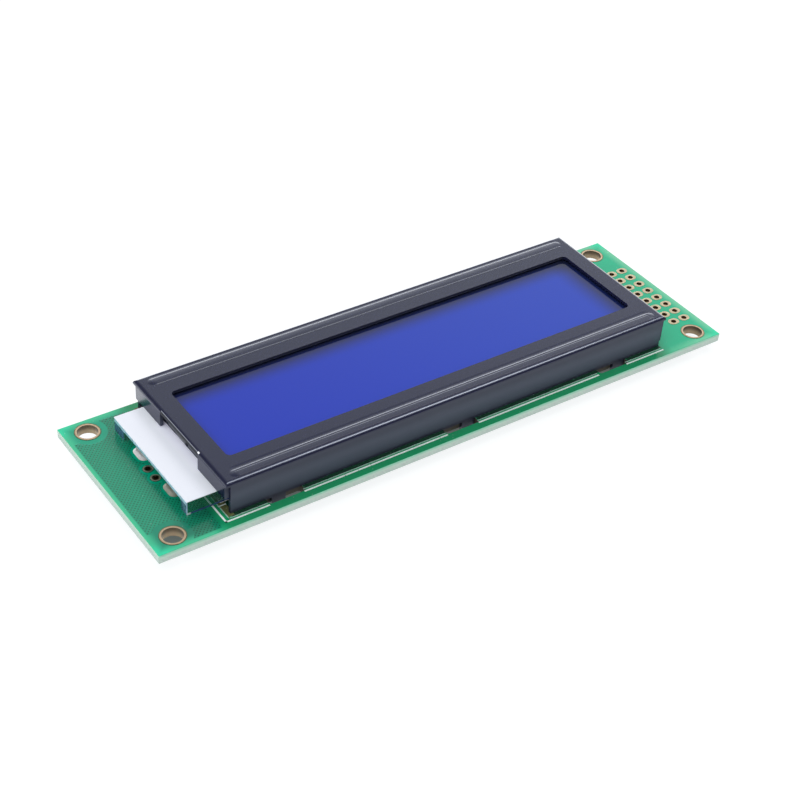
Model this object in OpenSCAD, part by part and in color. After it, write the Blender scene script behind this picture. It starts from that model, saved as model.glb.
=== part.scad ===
// Character display module: 20 by 2 cells, side-lit, chips bonded on the back of the board.
// Frame: origin on the resting plane under the middle of the board, +X to the interface
// end, +Y to the back edge, +Z up through the face of the display.

/* [Board] */
// Length of the board
board_l = 116; // [114:0.5:130]
// Width of the board
board_w = 35; // [35:0.5:45]
// Thickness of the board
board_t = 1.6; // [1:0.1:2.4]
// Mounting holes from the ends of the board
mount_inset_x = 4; // [3.5:0.25:5]
// Mounting holes from the long edges of the board
mount_inset_y = 3; // [2.8:0.1:3.2]
// Bore of the plated mounting holes
mount_bore = 3.5; // [3:0.1:3.6]
// Width of the copper ring round a mounting hole
mount_ring = 0.45; // [0.3:0.05:0.5]
// Thickness of copper and plating
copper_t = 0.05; // [0.03:0.01:0.08]

/* [Interface holes] */
// Space between neighbouring holes
pin_pitch = 2.54; // [2.4:0.01:2.54]
// Number of holes in each column
pin_rows = 8; // [4:1:8]
// Bore of the plated interface holes
pin_bore = 1; // [0.8:0.05:1.1]
// Length of an oval pad, along the board
pad_l = 2.2; // [2:0.05:2.3]
// Width of an oval pad, across the board
pad_w = 1.7; // [1.5:0.05:1.9]
// Outer column past the middle of the right mounting holes
pin_past_mount = 1.65; // [1.4:0.05:1.8]
// First row from the middle of the front mounting holes
pin_from_mount = 4.2; // [4:0.1:4.6]

/* [Bezel] */
// Outer length of the bezel
bezel_l = 90.9; // [90.4:0.1:91.2]
// Outer width of the bezel
bezel_w = 30.8; // [30.6:0.1:31]
// Height of the bezel over the board
bezel_h = 6.2; // [6.2:0.1:8]
// Thickness of the bezel's sheet
sheet_t = 0.6; // [0.5:0.05:0.6]
// Outer radius of the bezel's top edges
bend_r = 0.75; // [0.7:0.05:0.8]
// Middle of the bezel from the middle of the board, along X
bezel_x = 0.75; // [0.5:0.05:1]
// Middle of the bezel from the middle of the board, along Y
bezel_y = 0.75; // [0.6:0.05:0.8]
// Frame between the window and each end of the bezel
window_end = 3.7; // [3:0.1:10]
// Frame between the window and the front side of the bezel
window_front = 5.85; // [5.4:0.05:7]
// Frame between the window and the back side of the bezel
window_back = 6.05; // [5.8:0.05:7]
// Radius of the window's corners
window_r = 0.9; // [0.5:0.1:2]
// Gap between a stamped rib and each end of the bezel
rib_end = 1.7; // [1.5:0.1:15]
// Width of a stamped rib
rib_w = 1.7; // [1.2:0.1:1.8]
// Rise of a stamped rib over the face
rib_rise = 0.13; // [0.1:0.01:0.2]
// Middle of the front rib from the front side of the bezel
rib_front = 1.8; // [1.7:0.05:2.4]
// Middle of the back rib from the back side of the bezel
rib_back = 2.15; // [1.7:0.05:2.4]
// Length of the notch at the left end of the bezel
notch_l = 12.4; // [8:0.2:16]
// Gap that each folded corner leaves
corner_gap = 0.8; // [0.7:0.05:1]

/* [Tabs and slots] */
// Width of a tab
tab_w = 2.6; // [2:0.1:2.6]
// Reach of a tab below the board
tab_drop = 2.2; // [2:0.1:3]
// Turn of a twisted tab
tab_twist = 40; // [20:5:50]
// Middle of the left tab from the left end of the bezel
tab_left = 9.6; // [9:0.1:12]
// Middle of the right tab from the right end of the bezel
tab_right = 10.3; // [9:0.1:12]
// Middle tab from the middle of the bezel
tab_mid = 1.65; // [0:0.05:4]
// Length of a slot in the board
slot_l = 6.8; // [6.8:0.1:7.5]
// Width of a slot in the board
slot_w = 2; // [1.8:0.1:2]
// Gap between a front tab's inner face and its slot
slot_gap = 0.15; // [0.15:0.05:0.3]
// Gap between a back tab's outer face and its slot
slot_room = 0.3; // [0.2:0.05:0.4]

/* [Display cell] */
// Middle of the cell and its backlight from the middle of the board, along Y
cell_y = 0.5; // [0.4:0.05:0.5]
// Gap between the bezel's face and the front polarizer
face_gap = 0.2; // [0.1:0.05:0.25]
// Thickness of each glass plate
glass_t = 0.7; // [0.5:0.1:0.7]
// Thickness of each polarizer
polarizer_t = 0.2; // [0.15:0.05:0.2]
// Margin of the polarizers past the window
polarizer_margin = 1.5; // [0.8:0.1:1.8]
// Gap between the glass and the bezel's walls
glass_gap = 0.25; // [0.15:0.05:0.4]
// Contact ledge of the front glass on each long side
ledge_w = 2.1; // [2.1:0.1:2.5]
// Thickness of an elastomer contact strip
strip_t = 1.7; // [1.4:0.1:1.7]
// Contact strip from each end of the glass
strip_inset = 4.45; // [3:0.05:14]
// Width of the resin bead on the cell's filling gap
seal_w = 3; // [2:0.5:6]
// Radius of the resin bead
seal_r = 0.63; // [0.55:0.01:0.7]
// Reach of the resin bead past the glass
seal_out = 0.45; // [0.2:0.05:0.5]

/* [Backlight] */
// Left end of the light guide from the left end of the board
guide_inset = 8; // [8:0.1:9]
// Gap between the light guide and each contact strip
guide_gap = 0.2; // [0.15:0.05:0.4]
// Thickness of the light guide
guide_t = 2.7; // [2.7:0.05:2.8]
// Thickness of the white film on the guide
film_t = 0.1; // [0.05:0.05:0.15]
// Thickness of the reflector under the guide
reflector_t = 0.15; // [0.1:0.05:0.2]
// Thickness of the guide's roof over the lamp pocket
roof_t = 0.6; // [0.4:0.05:0.7]
// Width of the guide's front leg
leg_front = 1.75; // [1.2:0.05:2.5]
// Width of the guide's back leg
leg_back = 3.4; // [2:0.1:4]
// Depth of the lamp pocket from the guide's left end
pocket_d = 5.2; // [5.2:0.1:6]
// Radius of the pocket's upper corners
pocket_r = 0.6; // [0.3:0.1:0.8]
// Thickness of the lamp, along the board
lamp_d = 2.2; // [1.8:0.1:2.4]
// Length of the lamp, across the board
lamp_l = 8.6; // [7:0.1:8.8]
// Height of the lamp
lamp_h = 1.9; // [1.4:0.1:1.9]
// Space between the middles of the two lamp lands
land_pitch = 10.2; // [10:0.1:11]
// Length of a lamp land, across the board
land_l = 3.6; // [3:0.1:3.8]
// Width of a lamp land, along the board
land_w = 2; // [1.6:0.1:2.2]
// Middle of the lands from the left end of the board
land_x = 8.95; // [8.8:0.05:9.2]
// Height of the solder on a land
solder_h = 0.35; // [0.3:0.05:0.5]
// Run of the solder's slope at the rim of a land
solder_slope = 0.5; // [0.3:0.05:0.6]
// Bore of the two lamp lead holes
lead_bore = 0.9; // [0.7:0.05:1]
// Width of the ring round a lead hole
lead_ring = 0.45; // [0.3:0.05:0.5]
// Middle of the lead holes from the left end of the board
lead_x = 8.1; // [8:0.05:8.2]

/* [Back of the board] */
// Diameter of the epoxy cap over the controller
controller_d = 19; // [14:0.5:21]
// Diameter of the epoxy cap over the driver
driver_d = 17; // [14:0.5:20]
// Height of the epoxy caps
cap_h = 1.6; // [1.2:0.1:1.8]
// Length of a chip part
chip_l = 2; // [1.6:0.1:2.2]
// Width of a chip part
chip_w = 1.25; // [0.8:0.05:1.4]
// Height of a chip resistor
resistor_h = 0.5; // [0.35:0.05:0.6]
// Height of a chip capacitor
capacitor_h = 0.9; // [0.6:0.05:1.2]
// Length of a chip part's metal end
chip_end = 0.4; // [0.25:0.05:0.5]
// Thickness of a chip part's metal end
chip_plate = 0.04; // [0.03:0.01:0.06]
// Space between neighbouring bias resistors
bias_pitch = 2.6; // [2:0.1:3]

/* [Hidden] */

// Facets of round shapes
$fn = 48;
// Facets of the shapes under a hull
soft_fn = 32;
// Facets round an epoxy cap, and of the large circle whose arc is its section
cap_fn = 96;
arc_fn = 720;
// Overrun of a cut past the faces it opens
cut = 0.5;

// Heights from the resting plane
board_z = tab_drop;
face_z = board_z + board_t;
bezel_top = face_z + bezel_h;
sheet_z = bezel_top - sheet_t;
polarizer_z = sheet_z - face_gap - polarizer_t;
front_glass_z = polarizer_z - glass_t;
rear_glass_z = front_glass_z - glass_t;
rear_polarizer_z = rear_glass_z - polarizer_t;
guide_top = face_z + guide_t;

// Places along the board, and of the mounting holes from its middle
board_left = -board_l / 2;
guide_left = board_left + guide_inset;
mount_x = board_l / 2 - mount_inset_x;
mount_y = board_w / 2 - mount_inset_y;

// Inner half sizes of the bezel, its window and ribs
bezel_in_x = bezel_l / 2 - sheet_t;
bezel_in_y = bezel_w / 2 - sheet_t;
window_l = bezel_l - 2 * window_end;
window_w = bezel_w - window_front - window_back;
window_y = bezel_y + (window_front - window_back) / 2;
rib_l = bezel_l - 2 * rib_end;

// Half sizes of the display cell and of what lies under it; along Y the cell stands off the
// middle of the bezel, and the nearer wall sets its width
glass_x = bezel_in_x - glass_gap;
glass_y = bezel_in_y - abs(bezel_y - cell_y) - glass_gap;
rear_glass_y = glass_y - ledge_w;
strip_gap = (ledge_w - strip_t) / 2;
strip_y = rear_glass_y + strip_gap + strip_t / 2;
strip_l = 2 * (glass_x - strip_inset);
polarizer_l = window_l + 2 * polarizer_margin;
polarizer_w = window_w + 2 * polarizer_margin;
guide_w = 2 * (rear_glass_y + strip_gap - guide_gap);

// Short walls of the bezel, as wide as the cell and a little more: the left one stands over
// the film, the right one over the board
wall_clear = 0.1;
left_wall_z = guide_top + film_t + wall_clear;
right_wall_gap = 0.6;
right_wall_z = face_z + right_wall_gap;
wall_past_glass = 0.35;
wall_w = 2 * (glass_y + wall_past_glass);

// Pocket and lamp
pocket_front = cell_y - guide_w / 2 + leg_front;
pocket_back = cell_y + guide_w / 2 - leg_back;
pocket_h = guide_t - roof_t;
pocket_end = guide_left + pocket_d;
lamp_gap = 0.2;
lamp_right = pocket_end - lamp_gap;
lamp_window_t = 0.1;
lamp_window_inset = 0.5;
terminal_t = 0.15;
terminal_w = 1.6;
terminal_riser = 1.1;
terminal_reach = 0.35;
lamp_left = lamp_right - lamp_window_t - lamp_d;
terminal_left = board_left + land_x - land_w / 2 + terminal_reach;

// The reflector starts where the bezel covers the guide
reflector_left = bezel_x - bezel_in_x;
guide_right = bezel_x + glass_x;
film_right = bezel_x - polarizer_l / 2 - wall_clear;

// Tabs and slots, from left to right: each slot runs past its tab on one side
tab_places = [
    bezel_x - bezel_l / 2 + tab_left, bezel_x + tab_mid, bezel_x + bezel_l / 2 - tab_right
];
slot_from_tab = [1, -1.9, -1.8];
slot_r = 0.5;
tab_slices = 8;

// Rib section: the arc over the rib's width with the rib's rise
rib_r = (rib_w * rib_w / 4 + rib_rise * rib_rise) / (2 * rib_rise);

// Places on the back of the board: the epoxy caps go by the tabs before them, the resistors
// by what they serve, and the capacitors by the interface holes
controller_from_tab = 11.1;
driver_from_tab = 11.6;
oscillator_from_controller = [15.5, 5];
backlight_resistor_from_lead = 2.4;
backlight_resistor_y = 3.2;
bias_from_pins = 10.11;
capacitor_from_pins = 4.61;
capacitor_y = 5.5;
controller_place = [tab_places[0] + controller_from_tab, 0];
driver_place = [tab_places[1] + driver_from_tab, 0];
oscillator_place = controller_place + oscillator_from_controller;

// Flat outline with round ends, long along X
module oval(l, w) {
    reach = (l - w) / 2;
    if (reach > 0)
        square([2 * reach, w], center = true);
    for (x = reach > 0 ? [-reach, reach] : [0])
        translate([x, 0])
            circle(d = w);
}

// Flat rectangle with round corners
module round_rect(l, w, r) {
    square([l - 2 * r, w], center = true);
    square([l, w - 2 * r], center = true);
    for (x = [-1, 1], y = [-1, 1])
        translate([x * (l / 2 - r), y * (w / 2 - r)])
            circle(r = r);
}

// Box centred on a place in plan, standing on height z
module slab(place, z, l, w, h) {
    translate([place[0] - l / 2, place[1] - w / 2, z])
        cube([l, w, h]);
}

// Section of a pan that opens downward, its upper corners round
module pan_section(l, h, r) {
    translate([-l / 2, 0])
        square([l, h - r]);
    translate([-(l / 2 - r), 0])
        square([l - 2 * r, h]);
    for (side = [-1, 1])
        translate([side * (l / 2 - r), h - r])
            circle(r = r);
}

// Solid pan with round top edges on all four sides
module pan(l, w, h, r) {
    intersection() {
        rotate([90, 0, 0])
            linear_extrude(w, center = true)
                pan_section(l, h, r);
        rotate([90, 0, 90])
            linear_extrude(l, center = true)
                pan_section(w, h, r);
    }
}

// Copper of one plated hole: barrel, upper ring and lower ring
module plated_hole(bore, ring_l, ring_w) {
    difference() {
        union() {
            translate([0, 0, board_z - copper_t])
                cylinder(d = bore + 2 * copper_t, h = board_t + 2 * copper_t);
            for (z = [board_z - copper_t, face_z])
                translate([0, 0, z])
                    linear_extrude(copper_t)
                        oval(ring_l, ring_w);
        }
        translate([0, 0, board_z - cut])
            cylinder(d = bore, h = board_t + 2 * cut);
    }
}

// Hole in the board for a plated hole's barrel
module barrel_hole(place, bore) {
    translate([place[0], place[1], board_z - cut])
        cylinder(d = bore + 2 * copper_t, h = board_t + 2 * cut);
}

function mount_place(side_x, side_y) = [side_x * mount_x, side_y * mount_y];
function pin_place(column, row) = [
    mount_x + pin_past_mount - column * pin_pitch,
    -mount_y + pin_from_mount + row * pin_pitch
];
function lead_place(side) = [board_left + lead_x, side * pin_pitch / 2];
function land_place(side) = [board_left + land_x, side * land_pitch / 2];
function slot_y(side) = bezel_y + side * (
    side < 0 ? bezel_in_y - slot_gap + slot_w / 2 : bezel_w / 2 + slot_room - slot_w / 2
);

module tab_slot(place) {
    translate([place[0], place[1], board_z - cut])
        linear_extrude(board_t + 2 * cut)
            round_rect(slot_l, slot_w, slot_r);
}

module circuit_board() {
    color("seagreen")
        difference() {
            slab([0, 0], board_z, board_l, board_w, board_t);
            for (x = [-1, 1], y = [-1, 1])
                barrel_hole(mount_place(x, y), mount_bore);
            for (column = [0, 1], row = [0 : pin_rows - 1])
                barrel_hole(pin_place(column, row), pin_bore);
            for (side = [-1, 1])
                barrel_hole(lead_place(side), lead_bore);
            for (side = [-1, 1], i = [0 : len(tab_places) - 1])
                tab_slot([tab_places[i] + slot_from_tab[i], slot_y(side)]);
        }
}

module mount_plating(side_x, side_y) {
    ring = mount_bore + 2 * mount_ring;
    color("tan")
        translate(concat(mount_place(side_x, side_y), 0))
            plated_hole(mount_bore, ring, ring);
}

module interface_plating(column) {
    color("tan")
        for (row = [0 : pin_rows - 1])
            translate(concat(pin_place(column, row), 0))
                plated_hole(pin_bore, pad_l, pad_w);
}

module backlight_lead_plating() {
    ring = lead_bore + 2 * lead_ring;
    color("tan")
        for (side = [-1, 1])
            translate(concat(lead_place(side), 0))
                plated_hole(lead_bore, ring, ring);
}

module backlight_land(side) {
    color("tan")
        translate(concat(land_place(side), face_z))
            linear_extrude(copper_t)
                rotate(90)
                    oval(land_l, land_w);
}

// Solder that wets the land and the end of the lamp's terminal
module backlight_solder(side) {
    color("gainsboro")
        difference() {
            translate(concat(land_place(side), face_z + copper_t))
                rotate(90)
                    hull() {
                        linear_extrude(copper_t)
                            oval(land_l - copper_t, land_w - copper_t, $fn = soft_fn);
                        linear_extrude(solder_h)
                            oval(land_l - 2 * solder_slope, land_w - 2 * solder_slope, $fn = soft_fn);
                    }
            terminal_foot(side);
        }
}

// Flat foot of a terminal, from the lamp's end face out over the land
module terminal_foot(side) {
    foot_l = lamp_left + terminal_riser - terminal_left;
    foot_w = (land_pitch + terminal_w - lamp_l) / 2;
    slab(
        [terminal_left + foot_l / 2, side * (lamp_l + foot_w) / 2],
        face_z + copper_t, foot_l, foot_w, terminal_t
    );
}

module lamp_terminal(side) {
    color("silver") {
        terminal_foot(side);
        translate([
            lamp_left,
            side > 0 ? lamp_l / 2 : -lamp_l / 2 - terminal_t,
            face_z + copper_t
        ])
            cube([terminal_riser, terminal_t, lamp_h - lamp_window_inset]);
    }
}

// Phosphor window set into the lamp's right face, with an overrun past that face
module lamp_window_form(over) {
    width = lamp_l - 2 * lamp_window_inset;
    height = lamp_h - 2 * lamp_window_inset;
    translate([lamp_right - lamp_window_t, -width / 2, face_z + lamp_window_inset])
        cube([lamp_window_t + over, width, height]);
}

module lamp_housing() {
    color("white")
        difference() {
            slab([(lamp_left + lamp_right) / 2, 0], face_z, lamp_right - lamp_left, lamp_l, lamp_h);
            lamp_window_form(cut);
        }
}

module lamp_window() {
    color("khaki")
        lamp_window_form(0);
}

// Clear plate on the board: a pocket for the lamp at the left end, a recess for the reflector
module light_guide() {
    pocket_w = pocket_back - pocket_front;
    color("lightcyan", 0.5)
        difference() {
            translate([guide_left, cell_y - guide_w / 2, face_z])
                cube([guide_right - guide_left, guide_w, guide_t]);
            translate([guide_left - cut, (pocket_front + pocket_back) / 2, face_z])
                rotate([90, 0, 90])
                    linear_extrude(pocket_d + cut)
                        pan_section(pocket_w, pocket_h, pocket_r);
            translate([guide_left - cut, pocket_front, face_z - cut])
                cube([pocket_d + cut, pocket_w, pocket_h / 2 + cut]);
            translate([reflector_left, cell_y - guide_w / 2 - cut, face_z - cut])
                cube([guide_right - reflector_left + cut, guide_w + 2 * cut, reflector_t + cut]);
        }
}

module guide_film() {
    color("white")
        translate([guide_left, cell_y - guide_w / 2, guide_top])
            cube([film_right - guide_left, guide_w, film_t]);
}

module guide_reflector() {
    start = max(reflector_left, pocket_end);
    color("white")
        translate([start, cell_y - guide_w / 2, face_z])
            cube([guide_right - start, guide_w, reflector_t]);
}

module diffuser() {
    color("whitesmoke")
        slab([bezel_x, cell_y], guide_top, polarizer_l, guide_w, rear_polarizer_z - guide_top);
}

module rear_polarizer() {
    color("dimgray")
        slab([bezel_x, cell_y], rear_polarizer_z, polarizer_l, polarizer_w, polarizer_t);
}

module rear_glass() {
    color("royalblue")
        slab([bezel_x, cell_y], rear_glass_z, 2 * glass_x, 2 * rear_glass_y, glass_t);
}

module front_glass() {
    color("lightblue", 0.5)
        slab([bezel_x, cell_y], front_glass_z, 2 * glass_x, 2 * glass_y, glass_t);
}

module front_polarizer() {
    color("slateblue", 0.7)
        slab([bezel_x, cell_y], polarizer_z, polarizer_l, polarizer_w, polarizer_t);
}

// Resin bead on the left edge of the two glass plates
module end_seal() {
    left = bezel_x - glass_x;
    color("goldenrod")
        intersection() {
            translate([left + seal_r - seal_out, cell_y, front_glass_z])
                rotate([90, 0, 0])
                    cylinder(r = seal_r, h = seal_w, center = true);
            translate([left - seal_r, cell_y - seal_w, front_glass_z - seal_r])
                cube([seal_r, 2 * seal_w, 2 * seal_r]);
        }
}

module contact_strip(side) {
    color("lightpink")
        slab(
            [bezel_x, cell_y + side * strip_y],
            face_z, strip_l, strip_t, front_glass_z - face_z
        );
}

// Stamped rib, round across and at its ends, cut to the band from z to the rib's crest
module rib(side, z, depth) {
    reach = rib_l / 2 - rib_w / 2;
    crest = z + depth + rib_rise;
    from_edge = side < 0 ? rib_front : rib_back;
    translate([bezel_x, bezel_y + side * (bezel_w / 2 - from_edge), 0])
        intersection() {
            union() {
                translate([0, 0, crest - rib_r])
                    rotate([0, 90, 0])
                        cylinder(r = rib_r, h = 2 * reach, center = true);
                for (end = [-1, 1])
                    translate([end * reach, 0, crest - rib_r])
                        sphere(r = rib_r);
            }
            translate([-rib_l, -rib_w, z])
                cube([2 * rib_l, 2 * rib_w, depth + 2 * rib_rise]);
        }
}

// What is cut from one end of the folded pan, so that only the short wall is left
module end_cut(side, foot_z) {
    difference() {
        translate([
            bezel_x + side * (bezel_l / 2 - corner_gap / 2 + cut / 2),
            bezel_y,
            face_z - cut + (bezel_h - bend_r + cut) / 2
        ])
            cube([corner_gap + cut, bezel_w + 2 * cut, bezel_h - bend_r + cut], center = true);
        slab([bezel_x, cell_y], foot_z, bezel_l + 2 * cut, wall_w, bezel_h);
    }
}

// Tab through the board, twisted below it
module bezel_tab(x, side) {
    y = bezel_y + side * (bezel_w / 2 - sheet_t / 2);
    slab([x, y], board_z, tab_w, sheet_t, board_t + sheet_t);
    translate([x, y, board_z])
        mirror([0, 0, 1])
            linear_extrude(tab_drop, twist = side * tab_twist, slices = tab_slices, $fn = 4)
                square([tab_w, sheet_t], center = true);
}

module bezel() {
    color("#303236") {
        difference() {
            union() {
                translate([bezel_x, bezel_y, face_z])
                    pan(bezel_l, bezel_w, bezel_h, bend_r);
                for (side = [-1, 1])
                    rib(side, bezel_top - sheet_t / 2, sheet_t / 2);
            }
            translate([bezel_x, bezel_y, face_z - cut])
                pan(2 * bezel_in_x, 2 * bezel_in_y, bezel_h - sheet_t + cut, bend_r - sheet_t);
            for (side = [-1, 1])
                rib(side, sheet_z - cut, cut);
            translate([bezel_x, window_y, sheet_z - cut])
                linear_extrude(sheet_t + 2 * cut)
                    round_rect(window_l, window_w, window_r);
            end_cut(-1, left_wall_z);
            end_cut(1, right_wall_z);
            slab(
                [bezel_x - bezel_l / 2, cell_y],
                face_z, 2 * (sheet_t + glass_gap), notch_l, bezel_h - sheet_t
            );
        }
        for (side = [-1, 1], x = tab_places)
            bezel_tab(x, side);
    }
}

// Epoxy over a bonded chip: a shallow ball cap under the board
module epoxy_cap(place, d) {
    ball_r = (d * d / 4 + cap_h * cap_h) / (2 * cap_h);
    color("#202020")
        translate([place[0], place[1], board_z])
            rotate_extrude($fn = cap_fn)
                intersection() {
                    translate([0, ball_r - cap_h])
                        circle(r = ball_r, $fn = arc_fn);
                    translate([0, -cap_h])
                        square([d, cap_h]);
                }
}

// Chip part under the board, long along X: body and two metal ends
module chip_part(place, h) {
    inner = h - 2 * chip_plate;
    translate([place[0], place[1], board_z - h]) {
        translate([0, 0, h / 2])
            cube([chip_l, chip_w - 2 * chip_plate, inner], center = true);
        for (end = [-1, 1])
            translate([end * (chip_l - chip_end) / 2, 0, h / 2])
                cube([chip_end, chip_w, h], center = true);
    }
}

module resistor(place) {
    color("#2c2c30")
        chip_part(place, resistor_h);
}

module capacitor(place) {
    color("#b09070")
        chip_part(place, capacitor_h);
}

module bias_resistor(index) {
    resistor([pin_place(1, 0)[0] - bias_from_pins, (index - 3) * bias_pitch]);
}

module backlight_resistor(side) {
    resistor([lead_place(side)[0] + backlight_resistor_from_lead, side * backlight_resistor_y]);
}

module bypass_capacitor(side) {
    capacitor([pin_place(1, 0)[0] - capacitor_from_pins, side * capacitor_y]);
}

circuit_board();
mount_plating(-1, -1);  // mount_plating_front_left
mount_plating(1, -1);  // mount_plating_front_right
mount_plating(-1, 1);  // mount_plating_back_left
mount_plating(1, 1);  // mount_plating_back_right
interface_plating(0);  // interface_plating_outer
interface_plating(1);  // interface_plating_inner
backlight_lead_plating();
backlight_land(-1);  // backlight_land_front
backlight_land(1);  // backlight_land_back
backlight_solder(-1);  // backlight_solder_front
backlight_solder(1);  // backlight_solder_back
light_guide();
guide_film();
guide_reflector();
diffuser();
lamp_housing();
lamp_window();
lamp_terminal(-1);  // lamp_terminal_front
lamp_terminal(1);  // lamp_terminal_back
front_polarizer();
front_glass();
rear_glass();
rear_polarizer();
end_seal();
contact_strip(-1);  // contact_strip_front
contact_strip(1);  // contact_strip_back
bezel();
epoxy_cap(controller_place, controller_d);  // controller_cap
epoxy_cap(driver_place, driver_d);  // driver_cap
bias_resistor(1);  // bias_resistor_1
bias_resistor(2);  // bias_resistor_2
bias_resistor(3);  // bias_resistor_3
bias_resistor(4);  // bias_resistor_4
bias_resistor(5);  // bias_resistor_5
resistor(oscillator_place);  // oscillator_resistor
backlight_resistor(-1);  // backlight_resistor_1
backlight_resistor(1);  // backlight_resistor_2
bypass_capacitor(-1);  // bypass_capacitor_1
bypass_capacitor(1);  // bypass_capacitor_2
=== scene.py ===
"""Looks of the character display module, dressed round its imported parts."""

import math

import bmesh
import bpy
from mathutils import Euler, Matrix, Vector


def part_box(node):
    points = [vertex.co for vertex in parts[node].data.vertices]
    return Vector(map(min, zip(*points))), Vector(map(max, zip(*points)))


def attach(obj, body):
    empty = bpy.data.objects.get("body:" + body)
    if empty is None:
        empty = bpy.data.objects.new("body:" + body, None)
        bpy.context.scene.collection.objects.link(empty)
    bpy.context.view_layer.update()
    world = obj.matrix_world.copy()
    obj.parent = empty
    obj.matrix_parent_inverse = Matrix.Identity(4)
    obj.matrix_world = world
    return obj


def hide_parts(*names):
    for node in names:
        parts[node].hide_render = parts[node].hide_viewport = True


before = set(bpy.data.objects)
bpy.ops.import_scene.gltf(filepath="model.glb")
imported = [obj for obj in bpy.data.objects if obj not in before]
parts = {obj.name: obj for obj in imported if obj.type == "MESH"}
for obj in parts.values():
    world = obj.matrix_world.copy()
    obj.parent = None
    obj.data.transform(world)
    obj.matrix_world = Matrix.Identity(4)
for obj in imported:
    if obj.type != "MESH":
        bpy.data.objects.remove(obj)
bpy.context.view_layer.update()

# A millimetre in the scene's metres. Lengths below are in millimetres, save those of the lamp
# and the camera.
MM = 0.001


def span(node):
    """Lowest and highest corner of a CAD node in millimetres."""
    low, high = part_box(node)
    return Vector(low) / MM, Vector(high) / MM


BOARD_LOW, BOARD_HIGH = span("circuit_board")
GUIDE_LOW, GUIDE_HIGH = span("light_guide")
# Upper face of the board
FACE_Z = BOARD_HIGH.z

# Middles of the mounting holes, on both sides of the board's middle in x and y
MOUNT_X, MOUNT_Y = 54, 14.5
# Middles of the lamp's lands and of its lead holes, on both sides of the board's middle in y
LAND_X, LAND_Y = -49.05, 5.1
LEAD_X, LEAD_Y = -49.9, 1.27
# Ends of the darker mask round the bezel, taken for plain copper below. The copper web begins
# at its left end.
POUR_START, POUR_END = -46.6, 45.4

# Middle and half the width of each rib pressed into the bezel's face
FRONT_RIB = (-12.85, 0.90)
BACK_RIB = (14.0, 1.075)
RIB_RISE = 0.13
# Gap in the bezel's left wall, beside the display cell, and the inner end of the bend there
GAP_FRONT, GAP_BACK = -5.6, 6.7
BEND_X = -44.3


# Wiring of the node trees

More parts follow.
